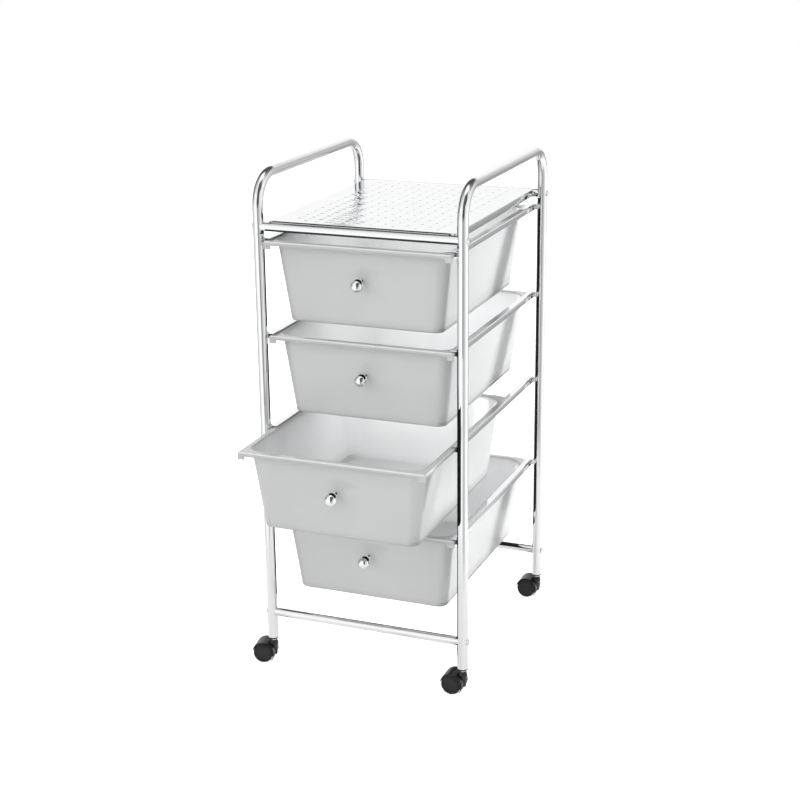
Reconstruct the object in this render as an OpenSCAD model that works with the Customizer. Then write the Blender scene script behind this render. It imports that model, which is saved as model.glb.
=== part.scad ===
// Four drawer utility cart: two bent tube side frames joined by four cross
// bars, channel rails that carry the drawers, a sheet metal top tray and four
// twin wheel swivel casters. Front is -Y, up is +Z, the floor is z = 0.

/* [Frame] */
// Width between the leg centre lines
leg_dx = 314; // [306:1:330]
// Depth between the leg centre lines
leg_dy = 375.6; // [372:0.2:392]
// Outer diameter of the leg and handle tube
tube_d = 16; // [15:0.5:17]
// Wall thickness of the tube
tube_wall = 1; // [0.8:0.1:1.2]
// Height of the top of the handles above the floor
frame_h = 773; // [766:1:790]
// Centre line radius of the handle bends
bend_r = 45; // [38:1:50]

/* [Cross bars] */
// Outer diameter of the cross bars
bar_d = 13; // [12:0.5:14]
// Height of the lower cross bars
bar_low_z = 83; // [75:1:95]
// Height of the upper cross bars
bar_high_z = 692; // [690:1:698]
// Diameter of the cross bar bolts
bolt_d = 5; // [4:0.5:6]

/* [Rails] */
// Height of the top pair of rails
rail_top_z = 671.4; // [668:0.2:673]
// Vertical distance from one pair of rails to the next
rail_pitch = 143.2; // [140:0.2:145]
// Height of the rail channel
rail_h = 9; // [9:0.5:10]
// Depth of the rail channel
rail_w = 10.7; // [10:0.1:11.2]

/* [Drawers] */
// Length of the drawer rim, front to back
drawer_l = 384.5; // [380:0.5:386]
// Height of the drawer, rim to floor
drawer_h = 122.6; // [104:0.2:126]
// Wall thickness of the drawer
drawer_wall = 1.8; // [1.5:0.1:2.2]
// Plan radius of the drawer's front corners at the rim
corner_f = 20; // [16:1:24]
// Plan radius of the drawer's rear corners at the rim
corner_r = 31; // [24:1:34]
// How far the first drawer stands open
open_1 = 8.3; // [0:0.1:200]
// How far the second drawer stands open
open_2 = 0.6; // [0:0.1:200]
// How far the third drawer stands open
open_3 = 116; // [0:0.5:200]
// Distance from the rim down to the knob
knob_drop = 53.9; // [40:0.1:70]
// Diameter of the knob ball
knob_d = 20; // [16:0.5:22]

/* [Tray] */
// Width of the top tray
tray_w = 288; // [280:1:292]
// Height of the tray's edge
tray_edge = 11; // [8:0.5:14]

/* [Casters] */
// Diameter of the wheels
wheel_d = 31; // [30:0.5:32]
// Distance from the swivel axis back to the axle
trail = 14; // [13:0.5:15]
// Front left caster's swivel angle
yaw_fl = 10; // [-180:1:180]
// Front right caster's swivel angle
yaw_fr = 0; // [-180:1:180]
// Rear left caster's swivel angle
yaw_rl = 12; // [-180:1:180]
// Rear right caster's swivel angle
yaw_rr = 0; // [-180:1:180]

/* [Hidden] */

$fn = 64;

lx = leg_dx / 2;
ly = leg_dy / 2;
tr = tube_d / 2;
leg_z0 = 40;                       // lower end of the leg tubes
bar_z = frame_h - tr;              // centre line of the handle
x_in = lx - tr;                    // inner side of the legs
bar_r = bar_d / 2;
sheet = 1;                         // sheet of the rails
level = [for (i = [0:3]) rail_top_z - i * rail_pitch];

// drawer, in its own frame: rim top at z = 0, middle of the legs at y = 0
rim_x = 145 + (leg_dx - 314) / 2;  // half width of the rim
rim_above = 1.5;                   // rim top above the rail's middle
rim_y0 = -ly - 3.1;                // front edge of the rim, closed
rim_y1 = rim_y0 + drawer_l;        // rear edge
skirt = 4.8;                       // depth of the rim's down-turned edge
draft = 0.119;                     // slope of the walls
wall_x = rim_x - 10;               // wall's half width at the rim
wall_y0 = rim_y0 + 12;
wall_y1 = rim_y1 - 12.5;
taper = 5;                         // what the corners' radius loses on the way down
edge_r = 4.5;                      // radius of the bottom edge
tab = 11.4;                        // depth of the stop tabs below the rim

open = [open_1, open_2, open_3, 0];
ball_out = 15;                     // ball centre from the wall
tilt = atan(draft);

tray_t = 0.8;
tray_z = bar_high_z + bar_r + tray_t;

wheel_r = wheel_d / 2;
hood_r = wheel_r + 2.1;
yaws = [["fl", -lx, -ly, yaw_fl], ["fr", lx, -ly, yaw_fr], ["rl", -lx, ly, yaw_rl], ["rr", lx, ly, yaw_rr]];

// The origin is the middle of the part's footprint on the floor.
function hood_lo_x(a) = min([for (t = [-40:2:170]) for (s = [-1, 1])
    (-trail + hood_r * cos(t)) * cos(a) - s * 15.5 * sin(a)]);
function hood_hi_y(a) = max([for (t = [-40:2:170]) for (s = [-1, 1])
    (-trail + hood_r * cos(t)) * sin(a) + s * 15.5 * cos(a)]);
x_lo = -lx + min(hood_lo_x(yaw_fl), hood_lo_x(yaw_rl));
x_hi = lx + tr + 2.4;
ball_y = wall_y0 + draft * knob_drop - ball_out * cos(tilt) - knob_d / 2;
y_lo = min(ball_y, rim_y0) - max(open);
y_hi = ly + max(hood_hi_y(yaw_rl), hood_hi_y(yaw_rr));
shift = [-(x_lo + x_hi) / 2, -(y_lo + y_hi) / 2, 0];

// ---------------------------------------------------------------- side frames
module u_tube(r) {
  for (s = [-1, 1]) {
    translate([0, s * ly, leg_z0]) cylinder(r = r, h = bar_z - bend_r - leg_z0);
    translate([0, s * (ly - bend_r), bar_z - bend_r])
      rotate([0, 0, s > 0 ? 0 : 180]) rotate([90, 0, 90])
        rotate_extrude(angle = 90) translate([bend_r, 0]) circle(r = r);
  }
  translate([0, -(ly - bend_r), bar_z]) rotate([-90, 0, 0]) cylinder(r = r, h = 2 * (ly - bend_r));
}

module side_frame(side) {
  color([0.85, 0.86, 0.88])
  translate([side * lx, 0, 0]) difference() {
    u_tube(tr);
    u_tube(tr - tube_wall);
    // the socket's end opens the tube
    for (s = [-1, 1]) translate([0, s * ly, leg_z0 - 1]) cylinder(r = tr - tube_wall, h = 3);
    // bolt holes for the cross bars
    for (s = [-1, 1]) for (z = [bar_low_z, bar_high_z])
      translate([-tr - 1, s * ly, z]) rotate([0, 90, 0]) cylinder(d = bolt_d + 0.4, h = tube_d + 2);
  }
}

// ----------------------------------------------------------------------- rails
module channel_2d(grow) {
  r = 2.4 - grow;
  h = rail_h - 2 * grow;
  w = rail_w + (grow > 0 ? 1 : 0);
  translate([grow + r, -h / 2]) square([w - grow - r, h]);
  translate([grow, -h / 2 + r]) square([r + 0.01, h - 2 * r]);
  for (s = [-1, 1]) translate([grow + r, s * (h / 2 - r)]) circle(r = r);
}

module rail(side, i) {
  color([0.85, 0.86, 0.88])
  translate([0, 0, level[i]]) mirror([side > 0 ? 0 : 1, 0, 0]) {
    // channel, open towards the drawer
    translate([x_in, ly, 0]) rotate([90, 0, 0]) mirror([1, 0, 0])
      linear_extrude(height = leg_dy) difference() {
        channel_2d(0);
        channel_2d(sheet);
      }
    // weld beads in the corner between rail and leg
    for (s = [-1, 1]) difference() {
      translate([x_in + 1.2, s * (ly - 6.3), -rail_h / 2 + 0.6]) cylinder(r = 1.8, h = rail_h - 1.2);
      translate([lx, s * ly, -rail_h]) cylinder(r = tr, h = 2 * rail_h);
      translate([x_in - sheet - 5, s * (ly - 12) - 10, -rail_h]) cube([5 + sheet / 2, 30, 2 * rail_h]);
    }
  }
}

// ------------------------------------------------------------------ cross bars
module crossbar(y, z) {
  color([0.85, 0.86, 0.88])
  difference() {
    translate([-lx, y, z]) rotate([0, 90, 0]) cylinder(r = bar_r, h = leg_dx);
    translate([-lx - 1, y, z]) rotate([0, 90, 0]) cylinder(r = bar_r - 1, h = leg_dx + 2);
    for (s = [-1, 1]) translate([s * lx, y, z - 2 * bar_r]) cylinder(r = tr, h = 4 * bar_r);
  }
}

module at_bolts() {
  for (sx = [-1, 1]) for (sy = [-1, 1]) for (z = [bar_low_z, bar_high_z])
    translate([sx * lx, sy * ly, z]) rotate([0, 0, sx > 0 ? 0 : 180]) children();
}

// threaded plug pressed into each end of a cross bar
module crossbar_plugs() {
  color([0.6, 0.6, 0.62])
  at_bolts() translate([-tr - 16, 0, 0]) rotate([0, 90, 0]) difference() {
    cylinder(r = bar_r - 1, h = 13);
    translate([0, 0, -1]) cylinder(d = bolt_d + 0.1, h = 15);
  }
}

// dome head bolts, the head saddled on the leg
module crossbar_bolts() {
  color([0.8, 0.8, 0.82])
  at_bolts() {
    translate([-tr - 13, 0, 0]) rotate([0, 90, 0]) cylinder(d = bolt_d, h = 2 * tr + 13.2);
    difference() {
      translate([tr - 2.2, 0, 0]) rotate([0, 90, 0]) rotate_extrude() intersection() {
        square([4.8, 4.6]);
        translate([0, -2.4]) circle(r = 7);
      }
      translate([0, 0, -8]) cylinder(r = tr, h = 16);
      translate([tr - 1, 0, 0]) rotate([0, 90, 0]) rotate([0, 0, 30]) translate([0, 0, 2]) cylinder(d = 3, h = 2, $fn = 6);
    }
  }
}

// ------------------------------------------------------------------------ tray
module pan_2d(x, y, r) {
  translate([-x + r, -y]) square([2 * (x - r), 2 * y]);
  translate([-x, -y + r]) square([2 * x, 2 * (y - r)]);
  for (i = [-1, 1]) for (j = [-1, 1]) translate([i * (x - r), j * (y - r)]) circle(r = r);
}

module top_tray() {
  w = tray_w / 2;
  d = ly - bar_r - 0.5;
  color([0.86, 0.87, 0.89]) {
    difference() {
      translate([0, 0, tray_z - tray_edge]) linear_extrude(height = tray_edge) pan_2d(w, d, 3);
      translate([0, 0, tray_z - tray_edge - 1]) linear_extrude(height = tray_edge + 1 - tray_t) pan_2d(w - tray_t, d - tray_t, 2.2);
    }
    // lips that lie on the upper cross bars
    for (s = [-1, 1]) translate([-w + 8, s > 0 ? d - 2 : -ly, tray_z - tray_t])
      cube([2 * w - 16, ly - d + 2, tray_t]);
  }
}

// --------------------------------------------------------------------- drawers
// a flat slice of the drawer's body: rounded rectangle, inset by the draft
module slice(z, inset, less) {
  rf = corner_f - less;
  rr = corner_r - less;
  for (i = [-1, 1]) {
    translate([i * (wall_x - inset - rf), wall_y0 + inset + rf, z]) cylinder(r = rf, h = 0.01, $fn = 32);
    translate([i * (wall_x - inset - rr), wall_y1 - inset - rr, z]) cylinder(r = rr, h = 0.01, $fn = 48);
  }
}

// tub from just under the rim to the floor, less a wall of thickness t
module tub(t, top) {
  zb = -drawer_h + t;
  er = edge_r - t;
  hull() {
    slice(top, -draft * top + t, t);
    for (a = [0, 30, 60, 90])
      slice(zb + er * (1 - sin(a)), draft * (drawer_h - edge_r) + t + er * (1 - cos(a)),
            taper + t + er * (1 - cos(a)));
  }
}

// flare that joins the tub to the rim
module collar(t, z0, z1, grow) {
  hull() {
    slice(z0, -draft * z0 + t + 0.4, t + 0.8);
    slice(z1, t - grow, t - grow);
  }
}

module rim_2d(inset) {
  r = 5 - inset * 0.9;
  q = 24 - inset;
  x = rim_x - inset;
  y0 = rim_y0 + inset;
  y1 = rim_y1 - inset;
  translate([-x, y0 + r]) square([2 * x, y1 - q - y0 - r]);
  translate([-x + r, y0]) square([2 * (x - r), r + 1]);
  translate([-x + q, y1 - q - 1]) square([2 * (x - q), q + 1]);
  for (i = [-1, 1]) {
    translate([i * (x - r), y0 + r]) circle(r = r);
    translate([i * (x - q), y1 - q]) circle(r = q);
  }
}

module drawer_shape() {
  difference() {
    union() {
      tub(0, -0.9);
      collar(0, -8, -0.9, 4.6);
      translate([0, 0, -1.8]) linear_extrude(height = 1.8) rim_2d(0);
      // down-turned edge all round
      translate([0, 0, -skirt]) linear_extrude(height = skirt) difference() {
        rim_2d(0);
        rim_2d(1.5);
      }
      // deeper edge along the front
      translate([-rim_x + 6, rim_y0, -skirt - 1.5]) cube([2 * rim_x - 12, 1.5, skirt]);
      // stop tabs at the two front corners, which meet the rails' ends
      for (s = [-1, 1]) translate([s * (rim_x - 5.6) - 5.4, rim_y0 + 0.01, -tab]) cube([10.8, 2.49, tab - 1]);
    }
    tub(drawer_wall, 1);
    collar(drawer_wall, -6.5, 0.5, 5);
    // hole for the knob's screw
    at_knob() translate([0, 0, -8]) cylinder(d = 4.4, h = 16);
  }
}

// the knob's axis, square to the sloping front wall
module at_knob() {
  translate([0, wall_y0 + draft * knob_drop, -knob_drop]) rotate([90 + tilt, 0, 0]) children();
}

module on_drawer(i) {
  translate([0, -open[i], level[i] + rim_above]) children();
}

module drawer(i) {
  color([0.9, 0.9, 0.92, 0.85]) on_drawer(i) drawer_shape();
}

module knob(i) {
  color([0.85, 0.86, 0.88])
  on_drawer(i) at_knob() difference() {
    union() {
      rotate_extrude() {
        square([5.6, 1.2]);
        square([4.6, 2]);
        square([3.4, 9]);
      }
      translate([0, 0, ball_out]) sphere(d = knob_d);
    }
    translate([0, 0, -1]) cylinder(d = 4.1, h = 13);
  }
}

module knob_screw(i) {
  color([0.7, 0.7, 0.72])
  on_drawer(i) at_knob() {
    translate([0, 0, -drawer_wall - 0.1]) cylinder(d = 4, h = 11);
    difference() {
      translate([0, 0, -drawer_wall - 2.3]) cylinder(d = 8, h = 2.2);
      for (a = [0, 90]) rotate([0, 0, a]) translate([-2.4, -0.5, -drawer_wall - 2.8]) cube([4.8, 1, 1.6]);
    }
  }
}

// --------------------------------------------------------------------- casters
module caster_sockets() {
  color([0.12, 0.12, 0.13])
  for (c = yaws) translate([c[1], c[2], 0]) difference() {
    union() {
      translate([0, 0, leg_z0]) cylinder(r = tr - tube_wall, h = 30);
      translate([0, 0, leg_z0 - 2.4]) rotate_extrude() {
        square([tr - 0.8, 2.4]);
        translate([0, 0.8]) square([tr, 1.6]);
        translate([tr - 0.8, 0.8]) circle(r = 0.8);
      }
    }
    translate([0, 0, leg_z0 - 3]) cylinder(d = 8.1, h = 31);
  }
}

module at_caster(k) {
  translate([yaws[k][1], yaws[k][2], 0]) rotate([0, 0, yaws[k][3]]) children();
}

module at_axle() {
  translate([-trail, 0, wheel_r]) rotate([90, 0, 0]) children();
}

module caster_stem(k) {
  color([0.78, 0.78, 0.8])
  at_caster(k) {
    translate([0, 0, 13]) cylinder(d = 8, h = 51);
    translate([0, 0, 64]) cylinder(d1 = 8, d2 = 6, h = 1.5);
    translate([0, 0, 35.1]) cylinder(d = 10.4, h = 2.1);
  }
}

module caster_hood(k) {
  web = 9.2;
  color([0.1, 0.1, 0.11])
  at_caster(k) difference() {
    union() {
      // band over both wheels
      at_axle() rotate([0, 0, -40]) rotate_extrude(angle = 210) {
        translate([wheel_r + 0.6, -13.7]) square([hood_r - wheel_r - 0.6, 27.4]);
        for (s = [-1, 1]) translate([hood_r - 1.8, s * 13.7]) circle(r = 1.8);
      }
      // web between the wheels
      at_axle() translate([0, 0, -web / 2]) intersection() {
        cylinder(r = hood_r - 0.3, h = web);
        union() {
          translate([-hood_r, 1]) cube([2 * hood_r, hood_r, web]);
          cylinder(r = 7, h = web);
          translate([0, -5.5]) cube([hood_r, 12, web]);
        }
      }
      // neck for the stem
      translate([0, 0, 10.5]) cylinder(r = 5.6, h = 22);
      rotate_extrude() polygon([[0, 22], [5.5, 22], [7.4, 28], [7.2, 30.5], [5.4, 35], [0, 35]]);
    }
    // wheel wells
    for (s = [-1, 1]) at_axle() translate([0, 0, s * 10.4 - 5.8]) cylinder(r = wheel_r + 1, h = 11.6);
    translate([0, 0, 12.9]) cylinder(d = 8, h = 30);
    at_axle() translate([0, 0, -20]) cylinder(d = 5, h = 40);
  }
}

module caster_axle(k) {
  color([0.7, 0.7, 0.72]) at_caster(k) at_axle() translate([0, 0, -13]) cylinder(d = 5, h = 26);
}

// s = 1 is the wheel on the caster's -Y side, -1 the one on its +Y side
module wheel(k, s) {
  color([0.13, 0.13, 0.14])
  at_caster(k) at_axle() mirror([0, 0, s > 0 ? 0 : 1]) difference() {
    rotate_extrude() {
      translate([0, 4.9]) square([5, 9]);
      translate([0, 6]) square([wheel_r - 1.2, 8.2]);
      translate([0, 5.2 + 1.2]) square([wheel_r, 9.4 - 2.4]);
      for (z = [6.4, 13.4]) translate([wheel_r - 1.2, z]) circle(r = 1.2);
      translate([0, 14]) square([wheel_r - 2.4, 0.9]);
    }
    // shallow ring groove and dished middle of the outer face
    translate([0, 0, 14.3]) difference() {
      cylinder(r = 11.2, h = 2);
      translate([0, 0, -1]) cylinder(r = 10.4, h = 4);
    }
    translate([0, 0, 0]) cylinder(d = 5.1, h = 13.3);
  }
}

// -------------------------------------------------------------------- assembly
translate(shift) {
  side_frame(-1);  // side_frame_left
  side_frame(1);  // side_frame_right
  rail(-1, 0);  // rail_left_1
  rail(-1, 1);  // rail_left_2
  rail(-1, 2);  // rail_left_3
  rail(-1, 3);  // rail_left_4
  rail(1, 0);  // rail_right_1
  rail(1, 1);  // rail_right_2
  rail(1, 2);  // rail_right_3
  rail(1, 3);  // rail_right_4
  crossbar(-ly, bar_high_z);  // crossbar_upper_front
  crossbar(ly, bar_high_z);  // crossbar_upper_rear
  crossbar(-ly, bar_low_z);  // crossbar_lower_front
  crossbar(ly, bar_low_z);  // crossbar_lower_rear
  crossbar_plugs();
  crossbar_bolts();
  top_tray();
  drawer(0);  // drawer_1
  drawer(1);  // drawer_2
  drawer(2);  // drawer_3
  drawer(3);  // drawer_4
  knob(0);  // knob_1
  knob(1);  // knob_2
  knob(2);  // knob_3
  knob(3);  // knob_4
  knob_screw(0);  // knob_screw_1
  knob_screw(1);  // knob_screw_2
  knob_screw(2);  // knob_screw_3
  knob_screw(3);  // knob_screw_4
  caster_sockets();
  caster_stem(0);  // caster_stem_fl
  caster_hood(0);  // caster_hood_fl
  caster_axle(0);  // caster_axle_fl
  wheel(0, 1);  // wheel_outer_fl
  wheel(0, -1);  // wheel_inner_fl
  caster_stem(1);  // caster_stem_fr
  caster_hood(1);  // caster_hood_fr
  caster_axle(1);  // caster_axle_fr
  wheel(1, 1);  // wheel_outer_fr
  wheel(1, -1);  // wheel_inner_fr
  caster_stem(2);  // caster_stem_rl
  caster_hood(2);  // caster_hood_rl
  caster_axle(2);  // caster_axle_rl
  wheel(2, 1);  // wheel_outer_rl
  wheel(2, -1);  // wheel_inner_rl
  caster_stem(3);  // caster_stem_rr
  caster_hood(3);  // caster_hood_rr
  caster_axle(3);  // caster_axle_rr
  wheel(3, 1);  // wheel_outer_rr
  wheel(3, -1);  // wheel_inner_rr
}
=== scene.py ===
import bpy
import bmesh
import math
from mathutils import Matrix, Vector


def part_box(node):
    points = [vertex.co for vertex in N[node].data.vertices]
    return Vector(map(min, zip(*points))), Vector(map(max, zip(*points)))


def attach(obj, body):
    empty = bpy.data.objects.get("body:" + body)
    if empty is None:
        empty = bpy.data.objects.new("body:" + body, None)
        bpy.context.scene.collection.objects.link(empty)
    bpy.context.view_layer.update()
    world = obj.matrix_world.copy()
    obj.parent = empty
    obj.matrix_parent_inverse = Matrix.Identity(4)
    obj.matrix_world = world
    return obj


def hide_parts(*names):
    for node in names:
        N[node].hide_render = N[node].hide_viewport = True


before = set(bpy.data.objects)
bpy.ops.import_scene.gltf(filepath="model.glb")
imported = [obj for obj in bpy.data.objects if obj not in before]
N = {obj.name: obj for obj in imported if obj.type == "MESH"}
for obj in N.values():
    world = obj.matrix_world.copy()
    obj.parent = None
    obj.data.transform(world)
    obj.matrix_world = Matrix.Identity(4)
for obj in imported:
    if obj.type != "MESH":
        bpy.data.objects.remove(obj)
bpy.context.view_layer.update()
MM = 0.001

# ------------------------------------------------------------------ placement
# The middle of the four legs in the row frame, from the side frames themselves.
_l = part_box("side_frame_left")
_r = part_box("side_frame_right")
SX = (_l[0].x + _r[1].x) / 2
SY = (_l[0].y + _l[1].y) / 2


def P(x, y, z):
    """A point given in millimetres from the middle of the legs, in the row frame."""
    return Vector((x * MM + SX, y * MM + SY, z * MM))


# --------------------------------------------------------------------- camera
def make_camera():
    az, el, roll = math.radians(21.790), math.radians(17.628), math.radians(-0.638)
    fw = Vector((-math.sin(az) * math.cos(el), math.cos(az) * math.cos(el), -math.sin(el)))
    right = Vector((math.cos(az), math.sin(az), 0))
    up = right.cross(fw)
    r = right * math.cos(roll) + up * math.sin(roll)
    u = -right * math.sin(roll) + up * math.cos(roll)
    cam = bpy.data.cameras.new("camera")
    ob = bpy.data.objects.new("camera", cam)
    bpy.context.scene.collection.objects.link(ob)
    m = Matrix((r, u, -fw)).transposed().to_4x4()
    m.translation = P(907.44, -2305.68, 1175.81)
    ob.matrix_world = m
    cam.sensor_width = 36
    cam.lens = 1655.43 * 36 / 800
    cam.clip_start, cam.clip_end = 0.05, 60
    bpy.context.scene.camera = ob


make_camera()


# ------------------------------------------------------------- material tools
class Tree:
    """A small helper that adds nodes to a tree and links them."""

    def __init__(self, tree):
        self.t = tree

    def node(self, kind, **values):
        n = self.t.nodes.new(kind)
        for k, v in values.items():
            setattr(n, k, v)
        return n

    def link(self, a, b):
        self.t.links.new(a, b)

    def math(self, op, a, b=None, c=None, clamp=False):
        n = self.node("ShaderNodeMath", operation=op, use_clamp=clamp)
        for i, v in enumerate((a, b, c)):
            if v is None:
                continue
            if isinstance(v, (int, float)):
                n.inputs[i].default_value = v
            else:
                self.link(v, n.inputs[i])
        return n.outputs[0]

    def noise(self, vector, scale, detail=3.0, rough=0.5, distortion=0.0):
        n = self.node("ShaderNodeTexNoise")
        n.inputs["Scale"].default_value = scale
        n.inputs["Detail"].default_value = detail
        n.inputs["Roughness"].default_value = rough
        n.inputs["Distortion"].default_value = distortion
        self.link(vector, n.inputs["Vector"])
        return n.outputs["Fac"]

    def scaled(self, vector, s):
        n = self.node("ShaderNodeMapping")
        n.inputs["Scale"].default_value = s
        self.link(vector, n.inputs["Vector"])
        return n.outputs[0]

    def ramp(self, fac, stops, interpolation="LINEAR"):
        n = self.node("ShaderNodeValToRGB")
        r = n.color_ramp
        r.interpolation = interpolation
        while len(r.elements) > 1:
            r.elements.remove(r.elements[-1])
        first = True
        for pos, col in stops:
            c = (col, col, col, 1) if isinstance(col, (int, float)) else (*col, 1)
            if first:
                e = r.elements[0]
                e.position = pos
                first = False
            else:
                e = r.elements.new(pos)
            e.color = c
        self.link(fac, n.inputs[0])
        return n.outputs["Color"]

    def remap(self, v, a, b, c, d):
        n = self.node("ShaderNodeMapRange")
        n.clamp = True
        for i, x in enumerate((a, b, c, d)):
            n.inputs[1 + i].default_value = x
        self.link(v, n.inputs[0])
        return n.outputs[0]

    def mixcol(self, fac, a, b, blend="MIX"):
        n = self.node("ShaderNodeMix", data_type="RGBA", blend_type=blend)
        fs = [s for s in n.inputs if s.type == "VALUE" and s.enabled][0]
        cs = [s for s in n.inputs if s.type == "RGBA"]
        for sock, v in ((fs, fac), (cs[0], a), (cs[1], b)):
            if isinstance(v, (int, float)):
                sock.default_value = v if sock.type == "VALUE" else (v, v, v, 1)
            elif isinstance(v, tuple):
                sock.default_value = (*v, 1)
            else:
                self.link(v, sock)
        return [o for o in n.outputs if o.type == "RGBA"][0]


def new_material(name):
    m = bpy.data.materials.new(name)
    m.use_nodes = True
    m.node_tree.nodes.clear()
    t = Tree(m.node_tree)
    out = t.node("ShaderNodeOutputMaterial")
    coord = t.node("ShaderNodeTexCoord").outputs["Object"]
    return m, t, out, coord


def bump(t, height, strength, distance, under=None):
    n = t.node("ShaderNodeBump")
    n.inputs["Strength"].default_value = strength
    n.inputs["Distance"].default_value = distance
    t.link(height, n.inputs["Height"])
    if under is not None:
        t.link(under, n.inputs["Normal"])
    return n.outputs[0]


def chrome(name, base=(0.85, 0.855, 0.865), rough=0.055, smear=0.05, drawn=None):
    """Polished chromium plate: faint handling marks in the roughness, a slight
    waviness of the plated metal, and draw lines along the tube where given."""
    m, t, out, co = new_material(name)
    p = t.node("ShaderNodeBsdfPrincipled")
    p.inputs["Metallic"].default_value = 1.0
    cloud = t.noise(co, 26, 4, 0.55)
    fine = t.noise(co, 420, 3, 0.6)
    col = t.ramp(cloud, [(0.3, tuple(c * 0.965 for c in base)), (0.62, base), (0.8, tuple(min(1, c * 1.02) for c in base))])
    t.link(col, p.inputs["Base Color"])
    smudge = t.remap(t.noise(co, 11, 5, 0.62, 0.6), 0.48, 0.74, 0.0, 1.0)
    r = t.math("MULTIPLY_ADD", smudge, smear, rough)
    r = t.math("MULTIPLY_ADD", fine, 0.02, r)
    t.link(r, p.inputs["Roughness"])
    wavy = t.noise(co, 60, 2, 0.5)
    nrm = bump(t, wavy, 0.10, 0.0006)
    if drawn is not None:
        lines = t.noise(t.scaled(co, drawn), 900, 2, 0.5)
        nrm = bump(t, lines, 0.05, 0.0001, nrm)
    t.link(nrm, p.inputs["Normal"])
    t.link(p.outputs[0], out.inputs["Surface"])
    return m


def zinc(name, base=(0.62, 0.625, 0.63), rough=0.3):
    """Bright zinc plate, duller than the chrome, with a fine cloudy grain."""
    m, t, out, co = new_material(name)
    p = t.node("ShaderNodeBsdfPrincipled")
    p.inputs["Metallic"].default_value = 1.0
    c = t.noise(co, 160, 5, 0.6)
    t.link(t.ramp(c, [(0.3, tuple(x * 0.82 for x in base)), (0.7, base)]), p.inputs["Base Color"])
    t.link(t.remap(t.noise(co, 700, 3), 0.3, 0.7, rough - 0.06, rough + 0.1), p.inputs["Roughness"])
    t.link(bump(t, t.noise(co, 1200, 3), 0.15, 0.0001), p.inputs["Normal"])
    t.link(p.outputs[0], out.inputs["Surface"])
    return m


def frosted(name, tone=1.0, through=0.40, rough=0.15):
    """Frosted translucent polypropylene: a satin skin that mirrors softly at
    low angles over a milky wall that lets light through, with faint flow clouds.
    Over the last millimetres to each floor the colour is darkened as painted shade, more deeply along the side walls."""
    m, t, out, co = new_material(name)
    p = t.node("ShaderNodeBsdfPrincipled")
    cloud = t.noise(t.scaled(co, (1, 1, 0.6)), 9, 3, 0.5, 0.4)
    grain = t.noise(co, 1400, 2, 0.6)
    sep = t.node("ShaderNodeSeparateXYZ")
    t.link(co, sep.inputs[0])
    # depth below each drawer's rim, in units of the distance between drawers
    depth = t.math("FRACT", t.math("MULTIPLY", t.math("SUBTRACT", 0.6739, sep.outputs[2]), 1 / 0.1432))
    # painted shade: the colour darkens towards each drawer's floor, and more so along the side walls
    painted_floor_shade = t.ramp(depth, [(0.0, 1.0), (0.775, 1.0), (0.835, 0.955), (0.858, 0.84), (0.87, 0.82), (1.0, 1.0)])
    painted_side_floor_shade = t.ramp(depth, [(0.0, 1.0), (0.72, 1.0), (0.74, 0.95), (0.805, 0.93), (0.815, 0.72), (0.87, 0.66), (1.0, 1.0)])
    side = t.math("ABSOLUTE", t.math("SUBTRACT", sep.outputs[0], SX))
    painted_floor_shade = t.mixcol(t.remap(side, 0.106, 0.118, 0, 1), painted_floor_shade, painted_side_floor_shade)

    def shaded(lo, hi):
        c = t.ramp(cloud, [(0.3, tuple(v * tone for v in lo)), (0.7, tuple(v * tone for v in hi))])
        return t.mixcol(1.0, c, painted_floor_shade, "MULTIPLY")

    t.link(shaded((0.855, 0.86, 0.863), (0.885, 0.888, 0.89)), p.inputs["Base Color"])
    t.link(t.remap(t.noise(co, 40, 4), 0.35, 0.65, rough, rough + 0.05), p.inputs["Roughness"])
    p.inputs["Specular IOR Level"].default_value = 0.6
    p.inputs["Coat Weight"].default_value = 0.5
    p.inputs["Coat Roughness"].default_value = 0.14
    t.link(bump(t, grain, 0.06, 0.00008), p.inputs["Normal"])
    tr = t.node("ShaderNodeBsdfTranslucent")
    t.link(shaded((0.935, 0.94, 0.942), (0.955, 0.957, 0.958)), tr.inputs["Color"])
    mix = t.node("ShaderNodeMixShader")
    mix.inputs[0].default_value = through
    t.link(p.outputs[0], mix.inputs[1])
    t.link(tr.outputs[0], mix.inputs[2])
    t.link(mix.outputs[0], out.inputs["Surface"])
    return m


def black_plastic(name, base=0.02, rough=0.36, grain=1100, strength=0.2, worn=0.0):
    """Moulded black plastic with a fine spark texture and slight sheen changes."""
    m, t, out, co = new_material(name)
    p = t.node("ShaderNodeBsdfPrincipled")
    g = t.noise(co, grain, 4, 0.6)
    cloud = t.noise(co, 70, 4, 0.6)
    t.link(t.ramp(cloud, [(0.3, (base * 0.8, base * 0.8, base * 0.83)), (0.7, (base * 1.35, base * 1.35, base * 1.38))]), p.inputs["Base Color"])
    t.link(t.remap(t.noise(co, 150, 4), 0.3, 0.7, rough - 0.06, rough + 0.09 + worn), p.inputs["Roughness"])
    p.inputs["Specular IOR Level"].default_value = 0.5
    t.link(bump(t, g, strength, 0.0001), p.inputs["Normal"])
    t.link(p.outputs[0], out.inputs["Surface"])
    return m


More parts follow.
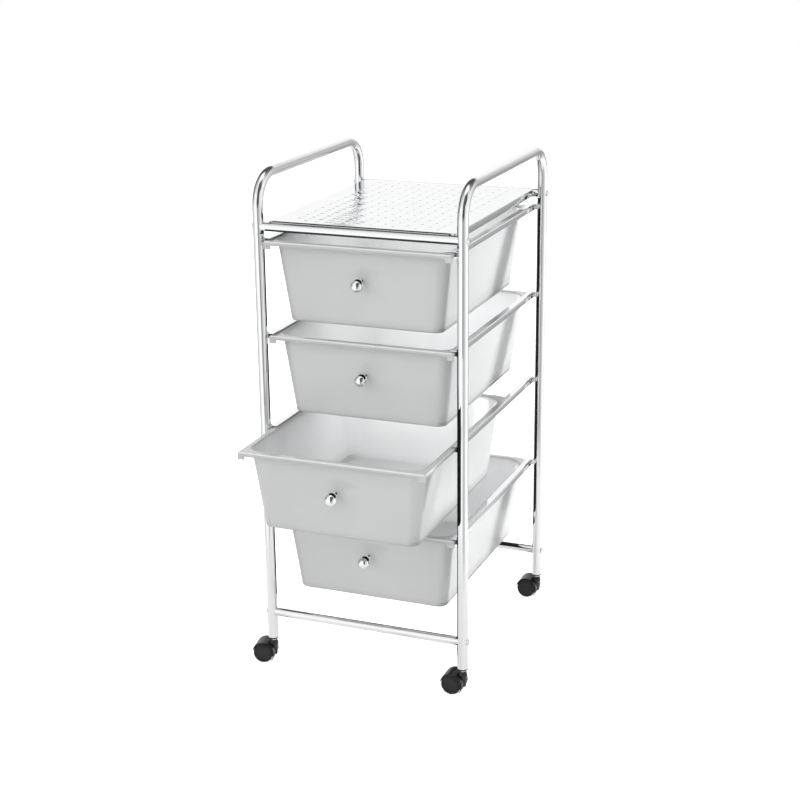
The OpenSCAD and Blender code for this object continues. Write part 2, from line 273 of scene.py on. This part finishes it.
M = {
    "tube": chrome("chrome_tube", drawn=(1, 1, 0.02)),
    "bar": chrome("chrome_bar", drawn=(0.02, 1, 1)),
    "rail": chrome("chrome_rail", rough=0.075, drawn=(1, 0.02, 1)),
    "tray": chrome("chrome_tray", base=(0.82, 0.825, 0.835), rough=0.07, smear=0.07),
    "knob": chrome("chrome_knob", base=(0.91, 0.915, 0.92), rough=0.035, smear=0.03),
    "bolt": chrome("chrome_bolt", base=(0.72, 0.725, 0.735), rough=0.12),
    "zinc": zinc("zinc_steel"),
    "plastic": frosted("frosted_plastic"),
    # painted shade: tone 0.86 darkens the rim; its lower light through, 0.25, belongs to the solid rim
    "rim_solid_painted_shade": frosted("frosted_rim_solid_painted_shade", 0.86, 0.25),
    # painted shade: tone 0.66 paints a dark shade line along the lip's upper curve into the drawer
    "lip_painted_shade_line": frosted("frosted_lip_painted_shade_line", 0.66, 0.25),
    # painted highlight: tone 1.11 paints a bright highlight line along the rim's outer rounded edge
    "edge_painted_highlight": frosted("frosted_edge_painted_highlight", 1.11, 0.05, 0.08),
    "socket": black_plastic("black_socket", 0.018, 0.4),
    "hood": black_plastic("black_hood", 0.014, 0.30, 900, 0.25),
    "wheel": black_plastic("black_wheel", 0.013, 0.42, 1500, 0.3, 0.08),
}

SHADE = [
    ("side_frame_", "tube"), ("crossbar_upper", "bar"), ("crossbar_lower", "bar"),
    ("crossbar_plugs", "zinc"), ("crossbar_bolts", "bolt"), ("rail_", "rail"),
    ("top_tray", "tray"), ("drawer_", "plastic"), ("knob_screw", "zinc"), ("knob_", "knob"),
    ("caster_sockets", "socket"), ("caster_stem", "zinc"), ("caster_hood", "hood"),
    ("caster_axle", "zinc"), ("wheel_", "wheel"),
]
for name, ob in N.items():
    for start, key in SHADE:
        if name.startswith(start):
            ob.data.materials.clear()
            ob.data.materials.append(M[key])
            break


def sharpen(me, degrees):
    """Marks the edges that turn more than this as sharp, the rest stay smooth."""
    b = bmesh.new()
    b.from_mesh(me)
    lim = math.radians(degrees)
    for e in b.edges:
        if len(e.link_faces) == 2:
            e.smooth = e.calc_face_angle(0) < lim
        else:
            e.smooth = False
    b.to_mesh(me)
    b.free()


# -------------------------------------------------------------------- drawers
# Millimetres; x from the cart's middle, y from the middle of the legs with the
# drawer shut, z from the top of the rim.
RIM_X, RIM_Y0, RIM_Y1 = 145.0, -190.9, 193.6
WALL_X, WALL_Y0, WALL_Y1 = 135.0, -178.9, 181.1
DEPTH, DRAFT, WALL_T, EDGE_R = 122.6, 0.119, 1.8, 4.5
R_FRONT, R_REAR, TAPER = 20.0, 31.0, 5.0
SKIRT, FRONT_SKIRT, TAB = 4.8, 6.3, 11.4
LEVELS = [671.4 - 143.2 * i for i in range(4)]
RIM_ABOVE = 1.5
OPEN = [8.3, 0.6, 116.0, 0.0]


def loop_xy(x0, x1, y0, y1, rf, rr, nc=10, nx=22, ny=28):
    """A rounded rectangle as points that keep their places from one loop to the next."""
    pts = []
    corners = [(x1 - rf, y0 + rf, rf, -90), (x1 - rr, y1 - rr, rr, 0), (x0 + rr, y1 - rr, rr, 90), (x0 + rf, y0 + rf, rf, 180)]
    counts = [ny, nx, ny, nx]
    for k, (cx, cy, r, a0) in enumerate(corners):
        arc = [(cx + r * math.cos(math.radians(a0 + 90 * i / nc)), cy + r * math.sin(math.radians(a0 + 90 * i / nc))) for i in range(nc + 1)]
        pts += arc
        nx_, ny_, r2, a1 = corners[(k + 1) % 4]
        end = (nx_ + r2 * math.cos(math.radians(a1)), ny_ + r2 * math.sin(math.radians(a1)))
        for i in range(1, counts[k]):
            f = i / counts[k]
            pts.append((arc[-1][0] + (end[0] - arc[-1][0]) * f, arc[-1][1] + (end[1] - arc[-1][1]) * f))
    return pts


def wall_loop(z, t):
    f = min(1.0, -z / (DEPTH - EDGE_R))
    i = DRAFT * (-z) + t
    rf, rr = R_FRONT - TAPER * f - t, R_REAR - TAPER * f - t
    return [(x, y, z) for x, y in loop_xy(-WALL_X + i, WALL_X - i, WALL_Y0 + i, WALL_Y1 - i, rf, rr)]


def bottom_loop(t, radius, e):
    """The radius between wall and floor: e is 0 at the wall and 90 degrees at the floor."""
    g = radius * (1 - math.cos(e))
    i = DRAFT * (DEPTH - EDGE_R) + t + g
    z = -DEPTH + t + radius * (1 - math.sin(e))
    return [(x, y, z) for x, y in loop_xy(-WALL_X + i, WALL_X - i, WALL_Y0 + i, WALL_Y1 - i, R_FRONT - TAPER - t - g, R_REAR - TAPER - t - g)]


def floor_loop(t, radius, extra):
    i = DRAFT * (DEPTH - EDGE_R) + t + radius + extra
    rf, rr = max(R_FRONT - TAPER - t - radius - extra * 0.2, 2.0), max(R_REAR - TAPER - t - radius - extra * 0.2, 2.0)
    return [(x, y, -DEPTH + t) for x, y in loop_xy(-WALL_X + i, WALL_X - i, WALL_Y0 + i, WALL_Y1 - i, rf, rr)]


def lip_loop(cz, lip, radius, a):
    """The radius between wall and rim, about a point in the rim's corner."""
    off = lip - radius * math.cos(a)
    i = DRAFT * (-cz) + WALL_T - off
    z = cz + radius * math.sin(a)
    return [(x, y, z) for x, y in loop_xy(-WALL_X + i, WALL_X - i, WALL_Y0 + i, WALL_Y1 - i, R_FRONT - WALL_T + off, R_REAR - WALL_T + off)]


def rim_loop(z, inset, rf=5.0, rr=24.0):
    return [(x, y, z) for x, y in loop_xy(-RIM_X + inset, RIM_X - inset, RIM_Y0 + inset, RIM_Y1 - inset, rf - inset * 0.8, rr - inset)]


def skirt_loop(z, inset):
    """The lower edge of the down-turned rim, deeper along the front."""
    deeper = FRONT_SKIRT - SKIRT
    return [(x, y, z - (deeper if y < RIM_Y0 + 3 and abs(x) < RIM_X - 5 else 0)) for x, y, _ in rim_loop(0, inset)]


def skin(bm, rings):
    """Faces between neighbouring loops, closed at both ends."""
    grid = [[bm.verts.new(v) for v in ring] for ring in rings]
    n = len(grid[0])
    for a, b in zip(grid, grid[1:]):
        for k in range(n):
            bm.faces.new((a[k], a[(k + 1) % n], b[(k + 1) % n], b[k]))
    bm.faces.new(grid[0])
    bm.faces.new(list(reversed(grid[-1])))
    return bm


def drawer_mesh():
    rings = []
    ri = EDGE_R - WALL_T + 2.6
    lip, cz = 4.2, -4.2
    # inside: floor, bottom radius, wall, lip
    for extra in (60, 30, 12, 4):
        rings.append(floor_loop(WALL_T, ri, extra))
    for a in range(90, -1, -15):
        rings.append(bottom_loop(WALL_T, ri, math.radians(a)))
    for z in (-105, -95, -80, -65, -50, -38, -27, -17, -11, -7):
        rings.append(wall_loop(z, WALL_T))
    for a in range(0, 91, 15):
        rings.append(lip_loop(cz, lip, lip, math.radians(a)))
    # flat rim, its rounded outer edge, the down-turned skirt and back up inside it
    rings.append(rim_loop(0, 1.7))
    for a in (22.5, 45, 67.5, 90):
        a = math.radians(a)
        rings.append(rim_loop(-1.6 * (1 - math.cos(a)), 1.6 - 1.6 * math.sin(a)))
    rings.append(skirt_loop(-SKIRT + 0.4, 0))
    rings.append(skirt_loop(-SKIRT, 0.35))
    rings.append(skirt_loop(-SKIRT, 1.15))
    rings.append(skirt_loop(-SKIRT + 0.35, 1.5))
    rings.append(rim_loop(-2.6, 1.7))
    rings.append(rim_loop(-1.8, 2.6))
    # underside of the rim, its radius, the outer wall down to the floor
    for a in range(90, -1, -15):
        rings.append(lip_loop(cz, lip, lip - WALL_T, math.radians(a)))
    for z in (-7, -11, -17, -27, -38, -50, -65, -80, -95, -105):
        rings.append(wall_loop(z, 0))
    for a in range(0, 91, 15):
        rings.append(bottom_loop(0, EDGE_R, math.radians(a)))
    for extra in (4, 12, 30, 60):
        rings.append(floor_loop(0, EDGE_R, extra))
    return skin(bmesh.new(), rings)


def stop_block(s):
    """The stop tab under a front corner of the rim, which meets the rail's end."""
    x1, x0 = RIM_X - 0.05, RIM_X - 11.0
    y0, y1 = RIM_Y0 + 0.05, RIM_Y0 + 2.6
    rings = []
    for ins, z, r in ((0, -1.2, 1.1), (0, -TAB + 0.8, 1.1), (0.2, -TAB + 0.3, 0.95), (0.6, -TAB, 0.6), (1.0, -TAB, 0.25)):
        rings.append([(s * x, y, z) for x, y in loop_xy(x0 + ins, x1 - ins, y0 + ins, y1 - ins, r, r, 4, 2, 2)])
    return skin(bmesh.new(), rings)


def to_object(name, bm):
    me = bpy.data.meshes.new(name)
    bmesh.ops.recalc_face_normals(bm, faces=bm.faces)
    bm.to_mesh(me)
    bm.free()
    ob = bpy.data.objects.new(name, me)
    bpy.context.scene.collection.objects.link(ob)
    return ob


def union(base, *others):
    """Joins closed meshes into one closed mesh."""
    for o in others:
        mod = base.modifiers.new("join", "BOOLEAN")
        mod.operation = "UNION"
        mod.solver = "EXACT"
        mod.object = o
    bpy.context.view_layer.update()
    dg = bpy.context.evaluated_depsgraph_get()
    me = bpy.data.meshes.new_from_object(base.evaluated_get(dg))
    base.modifiers.clear()
    base.data = me
    for o in others:
        bpy.data.objects.remove(o)
    return base


def make_drawers():
    base = to_object("drawer_shape", drawer_mesh())
    base = union(base, to_object("stop_l", stop_block(-1)), to_object("stop_r", stop_block(1)))
    shape = base.data
    bpy.data.objects.remove(base)
    # the rim, its lip and its outer edge are solid and pass light differently; besides that, the rim's top is painted
    # darker as shade, the lip's upper curve carries a painted dark shade line, and the outer rounded edge a painted
    # highlight line
    part_of = []
    for f in shape.polygons:
        x, y, z = f.center
        edge = max(abs(x) - RIM_X, RIM_Y0 - y, y - RIM_Y1) > -1.75
        if z > -1.62 and edge and f.normal.z > -0.3:
            part_of.append(3 if z < -0.02 else 1)
        elif z > -0.02 and f.normal.z > 0.9:
            part_of.append(1)
        elif z > -1.3 and f.normal.z > 0.3:
            part_of.append(2)
        elif y < RIM_Y0 + 3 and z < -3:
            part_of.append(1)
        else:
            part_of.append(0)
    for i in range(4):
        me = shape.copy()
        o = P(0, -OPEN[i], LEVELS[i] + RIM_ABOVE)
        me.transform(Matrix.Translation(o) @ Matrix.Scale(MM, 4))
        me.materials.clear()
        for key in ("plastic", "rim_solid_painted_shade", "lip_painted_shade_line", "edge_painted_highlight"):
            me.materials.append(M[key])
        for p, k in zip(me.polygons, part_of):
            p.use_smooth = True
            p.material_index = k
        sharpen(me, 50)
        name = f"drawer_shell_{i + 1}"
        me.name = name
        ob = bpy.data.objects.new(name, me)
        bpy.context.scene.collection.objects.link(ob)
        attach(ob, f"drawer_body_{i + 1}")
        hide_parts(f"drawer_{i + 1}")


make_drawers()


# ----------------------------------------------------------------------- tray
def make_tray():
    half_w, half_d = 144.0, 375.6 / 2 - 6.5 - 0.5
    top = 692 + 6.5 + 0.8
    t, edge = 0.8, 11.0
    px, py = 17.0, 14.0
    nx, ny = 14, 24
    bm = bmesh.new()
    verts = {}

    def v(x, y, z):
        k = (round(x, 3), round(y, 3), round(z, 3))
        if k not in verts:
            verts[k] = bm.verts.new((x, y, z))
        return verts[k]

    # cells with one raised boss each, bosses turned alternately
    for i in range(nx):
        for j in range(ny):
            cx = (i - (nx - 1) / 2) * px
            cy = (j - (ny - 1) / 2) * py
            a0 = math.radians(45 if (i + j) % 2 else -45)
            border = []
            for k in range(16):
                # the cell's edge, walked from the middle of its +x side
                q = (k + 2) % 16 // 4
                f = ((k + 2) % 4) / 4
                if q == 0:
                    border.append((cx + px / 2, cy + (f - 0.5) * py))
                elif q == 1:
                    border.append((cx - (f - 0.5) * px, cy + py / 2))
                elif q == 2:
                    border.append((cx - px / 2, cy - (f - 0.5) * py))
                else:
                    border.append((cx + (f - 0.5) * px, cy - py / 2))
            rings = [[v(x, y, 0) for x, y in border]]
            for rad, z in ((1.0, 0.0), (0.84, 0.085), (0.62, 0.24), (0.36, 0.35)):
                ring = []
                for k in range(16):
                    a = 2 * math.pi * k / 16
                    ex, ey = 4.7 * rad, 2.9 * rad
                    ux, uy = math.cos(a - a0) * ex, math.sin(a - a0) * ey
                    x = cx + ux * math.cos(a0) - uy * math.sin(a0)
                    y = cy + ux * math.sin(a0) + uy * math.cos(a0)
                    ring.append(v(x, y, z))
                rings.append(ring)
            for a, b in zip(rings, rings[1:]):
                for k in range(16):
                    bm.faces.new((a[k], a[(k + 1) % 16], b[(k + 1) % 16], b[k]))
            c = v(cx, cy, 0.39)
            for k in range(16):
                bm.faces.new((rings[-1][k], rings[-1][(k + 1) % 16], c))
    gx, gy = nx * px / 2, ny * py / 2
    # plain margin out to the fold: the pattern's edge points, walked round
    step_x, step_y = px / 4, py / 4
    walk = []
    kx, ky = nx * 4, ny * 4
    for k in range(kx + 1):
        walk.append((-gx + k * step_x, -gy, (0, -1)))
    for k in range(ky + 1):
        walk.append((gx, -gy + k * step_y, (1, 0)))
    for k in range(kx + 1):
        walk.append((gx - k * step_x, gy, (0, 1)))
    for k in range(ky + 1):
        walk.append((-gx, gy - k * step_y, (-1, 0)))
    fx, fy = half_w - 3.0, half_d - 3.0
    sx, sy = fx / gx, fy / gy
    ring0 = [v(x, y, 0) for x, y, _ in walk]
    ring1 = [v(x * sx, y * sy, 0) for x, y, _ in walk]
    m = len(walk)
    for k in range(m):
        q = (ring0[k], ring0[(k + 1) % m], ring1[(k + 1) % m], ring1[k])
        u = []
        for w in q:
            if w not in u:
                u.append(w)
        if len(u) > 2:
            try:
                bm.faces.new(u)
            except ValueError:
                pass
    # the fold: edge points with outward directions, fanned at the corners
    rim = []
    for side in range(4):
        pts = [(x * sx, y * sy) for x, y, d in walk if d == [(0, -1), (1, 0), (0, 1), (-1, 0)][side]]
        d0 = [(0, -1), (1, 0), (0, 1), (-1, 0)][side]
        d1 = [(0, -1), (1, 0), (0, 1), (-1, 0)][(side + 1) % 4]
        for p_ in pts[:-1]:
            rim.append((p_, d0))
        c = pts[-1]
        rim.append((c, d0))
        for f in (0.25, 0.5, 0.75):
            a = math.atan2(d0[1], d0[0]) + f * math.pi / 2
            rim.append((c, (math.cos(a), math.sin(a))))
    R = 1.4

    def out(off, z):
        return [bm.verts.new((p_[0] + d[0] * off, p_[1] + d[1] * off, z)) for p_, d in rim]

    base = [v(p_[0], p_[1], 0) for p_, d in rim]
    rings = [base]
    rings.append(out(3.0 - R, 0))
    for a in (22.5, 45, 67.5, 90):
        a = math.radians(a)
        rings.append(out(3.0 - R + R * math.sin(a), -R * (1 - math.cos(a))))
    rings.append(out(3.0, -edge + 0.4))
    rings.append(out(2.7, -edge))
    rings.append(out(3.0 - t + 0.2, -edge))
    rings.append(out(3.0 - t, -edge + 0.3))
    rings.append(out(3.0 - t, -R))
    rings.append(out(3.0 - R, -t))
    n = len(rim)
    for a, b in zip(rings, rings[1:]):
        for k in range(n):
            q = (a[k], a[(k + 1) % n], b[(k + 1) % n], b[k])
            u = []
            for w in q:
                if w not in u:
                    u.append(w)
            if len(u) > 2:
                bm.faces.new(u)
    last = rings[-1]
    bm.faces.new(list(reversed(last)))
    bmesh.ops.recalc_face_normals(bm, faces=bm.faces)
    ob = to_object("tray_sheet", bm)
    # the two lips that lie on the cross bars, joined on
    lips = []
    ly = 375.6 / 2
    for s in (-1, 1):
        b2 = bmesh.new()
        prof = [(half_d - 3.2, 0.0), (ly - 0.5, 0.0), (ly - 0.12, -0.12), (ly, -0.4), (ly - 0.12, -0.68), (ly - 0.5, -0.8), (half_d - 3.2, -0.8)]
        a = [b2.verts.new((-half_w + 8, s * y, z)) for y, z in prof]
        b = [b2.verts.new((half_w - 8, s * y, z)) for y, z in prof]
        for k in range(len(prof)):
            b2.faces.new((a[k], a[(k + 1) % len(prof)], b[(k + 1) % len(prof)], b[k]))
        b2.faces.new(a)
        b2.faces.new(list(reversed(b)))
        # a hair below the top so that the faces don't coincide
        bmesh.ops.translate(b2, verts=b2.verts, vec=(0, 0, -0.01))
        lips.append(to_object("lip", b2))
    ob = union(ob, *lips)
    ob.data.transform(Matrix.Translation(P(0, 0, top - 0.0)) @ Matrix.Scale(MM, 4))
    ob.data.materials.clear()
    ob.data.materials.append(M["tray"])
    for p_ in ob.data.polygons:
        p_.use_smooth = True
        p_.material_index = 0
    sharpen(ob.data, 40)
    ob.name = "tray_embossed"
    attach(ob, "frame")
    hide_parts("top_tray")


make_tray()


# ---------------------------------------------------------------- the studio
def make_world():
    w = bpy.data.worlds.new("studio")
    bpy.context.scene.world = w
    w.use_nodes = True
    w.node_tree.nodes.clear()
    t = Tree(w.node_tree)
    out = t.node("ShaderNodeOutputWorld")
    bg = t.node("ShaderNodeBackground")
    d = t.node("ShaderNodeTexCoord").outputs["Generated"]
    sep = t.node("ShaderNodeSeparateXYZ")
    t.link(d, sep.inputs[0])
    # azimuth from the front (-Y) towards the right (+X), as 0 to 1 with the front at 0.5
    az = t.math("ARCTAN2", sep.outputs[0], t.math("MULTIPLY", sep.outputs[1], -1))
    u = t.math("MULTIPLY_ADD", az, 1 / (2 * math.pi), 0.5)
    el = t.math("ARCSINE", sep.outputs[2])

    def at(deg):
        return deg / 360 + 0.5

    # what stands round the object, by azimuth: at floor height, and above the horizon
    low = t.ramp(u, [
        (at(-180), 0.50), (at(-170), 0.82), (at(-150), 0.90), (at(-115), 0.62), (at(-100), 0.66), (at(-68), 0.80),
        (at(-46), 1.16), (at(-6), 1.24), (at(6), 0.90), (at(12), 0.30), (at(24), 0.29), (at(34), 0.58), (at(60), 0.70),
        (at(76), 1.05), (at(90), 1.22), (at(128), 1.25), (at(146), 0.85), (at(157), 0.52), (at(168), 0.34), (at(179.9), 0.50)])
    mid = t.ramp(u, [
        (at(-180), 1.08), (at(-140), 1.08), (at(-122), 0.30), (at(-96), 0.10), (at(-70), 0.45),
        (at(-48), 1.10), (at(-6), 1.15), (at(4), 0.60), (at(12), 0.06), (at(34), 0.05), (at(48), 0.35), (at(62), 0.90),
        (at(100), 1.15), (at(122), 1.00), (at(138), 0.80), (at(150), 0.62), (at(158), 0.55), (at(165), 0.85), (at(179.9), 1.12)])
    high = t.ramp(u, [
        (at(-180), 0.10), (at(-120), 0.08), (at(-80), 0.45), (at(-40), 1.0), (at(-6), 0.95), (at(4), 0.10), (at(68), 0.12), (at(88), 0.80),
        (at(100), 0.9), (at(130), 0.25), (at(160), 0.10), (at(179.9), 0.10)])
    f0 = t.remap(el, math.radians(-8), math.radians(2), 0, 1)
    f1 = t.remap(el, math.radians(25), math.radians(34), 0, 1)
    f2 = t.remap(el, math.radians(66), math.radians(76), 0, 1)
    c = t.mixcol(f0, low, mid)
    c = t.mixcol(f1, c, high)
    c = t.mixcol(f2, c, (1.35, 1.35, 1.35))
    # what mirrors see is above; matt and milky surfaces get a plainer studio, bright behind
    soft = t.ramp(u, [
        (at(-180), 1.1), (at(-140), 1.3), (at(-110), 1.7), (at(-60), 1.45), (at(0), 1.20),
        (at(40), 0.74), (at(65), 0.32), (at(90), 0.16), (at(120), 0.16), (at(150), 0.4), (at(172), 1.05), (at(179.9), 1.1)])
    soft = t.mixcol(t.remap(el, math.radians(35), math.radians(65), 0, 1), soft, (0.80, 0.80, 0.80))
    lp = t.node("ShaderNodeLightPath")
    c = t.mixcol(lp.outputs["Is Glossy Ray"], soft, c)
    c = t.mixcol(lp.outputs["Is Camera Ray"], c, (1.0, 1.0, 1.0))
    t.link(c, bg.inputs["Color"])
    bg.inputs["Strength"].default_value = 1.0
    t.link(bg.outputs[0], out.inputs["Surface"])
    w.cycles.sampling_method = "MANUAL"
    w.cycles.sample_map_resolution = 512


make_world()


def make_floor():
    bm = bmesh.new()
    bmesh.ops.create_grid(bm, x_segments=8, y_segments=8, size=8)
    me = bpy.data.meshes.new("floor")
    bm.to_mesh(me)
    bm.free()
    ob = bpy.data.objects.new("floor", me)
    bpy.context.scene.collection.objects.link(ob)
    m, t, out, co = new_material("floor_paper")
    df = t.node("ShaderNodeBsdfDiffuse")
    paper = t.ramp(t.noise(co, 3, 3), [(0.3, (0.90, 0.90, 0.90)), (0.7, (0.93, 0.93, 0.93))])
    bounce = t.node("ShaderNodeLightPath").outputs["Is Diffuse Ray"]
    t.link(t.mixcol(bounce, paper, (0.58, 0.58, 0.58)), df.inputs["Color"])
    tr = t.node("ShaderNodeBsdfTransparent")
    # mirrors see the floor only close by, and the studio beyond it
    sep = t.node("ShaderNodeSeparateXYZ")
    t.link(co, sep.inputs[0])
    dist = t.math("SQRT", t.math("ADD", t.math("POWER", sep.outputs[0], 2), t.math("POWER", sep.outputs[1], 2)))
    far = t.remap(dist, 0.55, 0.80, 0, 1)
    lp = t.node("ShaderNodeLightPath")
    glossy = t.math("MULTIPLY", far, lp.outputs["Is Glossy Ray"])
    mix = t.node("ShaderNodeMixShader")
    t.link(glossy, mix.inputs[0])
    t.link(df.outputs[0], mix.inputs[1])
    t.link(tr.outputs[0], mix.inputs[2])
    glow = t.node("ShaderNodeEmission")
    glow.inputs["Color"].default_value = (1, 1, 1, 1)
    t.link(t.math("MULTIPLY", lp.outputs["Is Camera Ray"], 0.62), glow.inputs["Strength"])
    both = t.node("ShaderNodeAddShader")
    t.link(mix.outputs[0], both.inputs[0])
    t.link(glow.outputs[0], both.inputs[1])
    t.link(both.outputs[0], out.inputs["Surface"])
    me.materials.append(m)


make_floor()


def area(name, loc, target, size, power, glossy=False):
    l = bpy.data.lights.new(name, "AREA")
    l.shape = "RECTANGLE"
    l.size, l.size_y = size
    l.energy = power
    ob = bpy.data.objects.new(name, l)
    bpy.context.scene.collection.objects.link(ob)
    ob.location = loc
    ob.rotation_mode = "QUATERNION"
    ob.rotation_quaternion = (Vector(target) - Vector(loc)).to_track_quat("-Z", "Y")
    ob.visible_glossy = glossy
    ob.visible_camera = False
    return ob


area("light_right", (0.95, -0.55, 0.5), (0.1, -0.1, 0.42), (0.3, 0.6), 0.4)
area("light_back", (0.93, 2.85, 0.30), (0, 0, 0.36), (0.2, 0.1), 250)


def painted_dark_reflection(name, corners, tone=0.03):
    """A dark sheet that only mirrors see, which paints a dark reflection into the shiny surfaces."""
    me = bpy.data.meshes.new(name)
    me.from_pydata([P(*c) for c in corners], [], [(0, 1, 2, 3)])
    ob = bpy.data.objects.new(name, me)
    bpy.context.scene.collection.objects.link(ob)
    m, t, out, co = new_material(name + "_painted_dark")
    d = t.node("ShaderNodeBsdfDiffuse")
    t.link(t.ramp(t.noise(co, 30, 2), [(0.3, tone * 0.85), (0.7, tone * 1.15)]), d.inputs["Color"])
    t.link(d.outputs[0], out.inputs["Surface"])
    me.materials.append(m)
    ob.visible_camera = False
    ob.visible_diffuse = False
    ob.visible_transmission = False
    ob.visible_shadow = False
    ob.visible_volume_scatter = False


# small lamps in the gaps over the drawers, which light their insides
for _i, (_y, _h, _w) in enumerate(((40, 683, 0.18), (55, 546, 0.20), (2, 402, 0.13), (-110, 259, 0.06))):
    _c = P(0, _y, _h)
    area(f"light_inside_{_i + 1}", _c, _c - Vector((0, 0, 0.1)), (0.20, (0.20, 0.20, 0.10, 0.08)[_i]), _w)


def painted_bright_reflection(name, corners, glow):
    """A white glowing card that only mirrors see: a painted bright reflection, which lights nothing."""
    me = bpy.data.meshes.new(name)
    me.from_pydata([P(*c) for c in corners], [], [(0, 1, 2, 3)])
    ob = bpy.data.objects.new(name, me)
    bpy.context.scene.collection.objects.link(ob)
    m, t, out, co = new_material(name + "_paper")
    e = t.node("ShaderNodeEmission")
    t.link(t.ramp(t.noise(co, 8, 2), [(0.3, glow * 0.97), (0.7, glow * 1.03)]), e.inputs["Color"])
    t.link(e.outputs[0], out.inputs["Surface"])
    me.materials.append(m)
    ob.visible_camera = False
    ob.visible_diffuse = False
    ob.visible_transmission = False
    ob.visible_shadow = False
    ob.visible_volume_scatter = False


def gauze(name, z0, z1, through):
    """A scrim behind a drawer that only holds back part of the light on it."""
    me = bpy.data.meshes.new(name)
    me.from_pydata([P(-178, 215, z0), P(138, 215, z0), P(138, 215, z1), P(-178, 215, z1)], [], [(0, 1, 2, 3)])
    ob = bpy.data.objects.new(name, me)
    bpy.context.scene.collection.objects.link(ob)
    m, t, out, co = new_material(name + "_net")
    d = t.node("ShaderNodeBsdfDiffuse")
    d.inputs["Color"].default_value = (0.1, 0.1, 0.1, 1)
    tr = t.node("ShaderNodeBsdfTransparent")
    mix = t.node("ShaderNodeMixShader")
    t.link(t.remap(t.noise(co, 30, 2), 0.3, 0.7, through * 0.97, through * 1.03), mix.inputs[0])
    t.link(d.outputs[0], mix.inputs[1])
    t.link(tr.outputs[0], mix.inputs[2])
    t.link(mix.outputs[0], out.inputs["Surface"])
    me.materials.append(m)
    ob.visible_camera = False
    ob.visible_diffuse = False
    ob.visible_glossy = False
    ob.visible_transmission = False
    ob.visible_volume_scatter = False


for _i, (_z, _v) in enumerate(zip(LEVELS, (0.21, 0.25, 0.24, 0.18))):
    gauze(f"gauze_{_i + 1}", _z - 134, _z + 9, _v)


def upright(name, x0, y0, x1, y1, z0, z1):
    painted_dark_reflection(name, [(x0, y0, z0), (x1, y1, z0), (x1, y1, z1), (x0, y0, z1)])


# dark sheets that only mirrors see, in the narrow dark gaps between the legs and the drawers, and under the lowest
# drawer: painted reflections of the shade in those gaps
for _n, _sx, _sy in (("left_rear", -1, 1), ("right_front", 1, -1), ("right_rear", 1, 1)):
    upright(f"flag_{_n}", _sx * 146, _sy * 183, _sx * 146, _sy * 150, 150, 684)
# painted dark reflections in front of the left rails only between the levels, so that the rails stay bright
for _i, _z in enumerate(LEVELS):
    upright(f"flag_left_front_{_i + 1}", -147.6, -189, -147.6, -160, _z - 130, _z - 13)
# a painted dark reflection beside the right front leg, whose left edge mirrors a dark line that changes with height
upright("painted_dark_reflection_right_gap_1", 147.5, -224, 147.5, -184, 268, 447)
upright("painted_dark_reflection_right_gap_2", 147.5, -195, 147.5, -184, 447, 536)
upright("painted_dark_reflection_right_gap_3", 147.5, -193.5, 147.5, -184, 60, 268)
# a painted bright reflection: a glowing card to the right front of the cart, seen only by mirrors
painted_bright_reflection("painted_bright_reflection_right", [(207, -487, 4), (293, -459, 4), (293, -459, 440), (207, -487, 440)], 0.98)
# small dark sheets over the knobs paint the dark cap that their tops mirror, a painted reflection
for _i, _z in enumerate(LEVELS):
    _k = WALL_Y0 + DRAFT * 53.9 - 15 - OPEN[_i]
    _h = _z + RIM_ABOVE - 53.9
    painted_dark_reflection(f"flag_knob_{_i + 1}", [(-7, _k - 4, _h + 14), (26, _k - 4, _h + 10), (26, _k + 14, _h + 10), (-7, _k + 14, _h + 14)])
# painted dark reflections of shade: under the lowest drawer for the lower bars, below the upper front bar, and at the
# tray's front lip above that bar
painted_dark_reflection("painted_dark_reflection_under", [(-118, -160, 117), (118, -160, 117), (118, 200, 117), (-118, 200, 117)])
painted_dark_reflection("painted_dark_reflection_bar", [(-148, -200, 681), (148, -200, 681), (148, -172, 681), (-148, -172, 681)], 0.10)
painted_dark_reflection("painted_dark_reflection_lip", [(-146, -179, 699.6), (146, -179, 699.6), (146, -179, 708), (-146, -179, 708)], 0.05)

bpy.context.scene.view_settings.view_transform = "Standard"
bpy.context.scene.view_settings.look = "None"
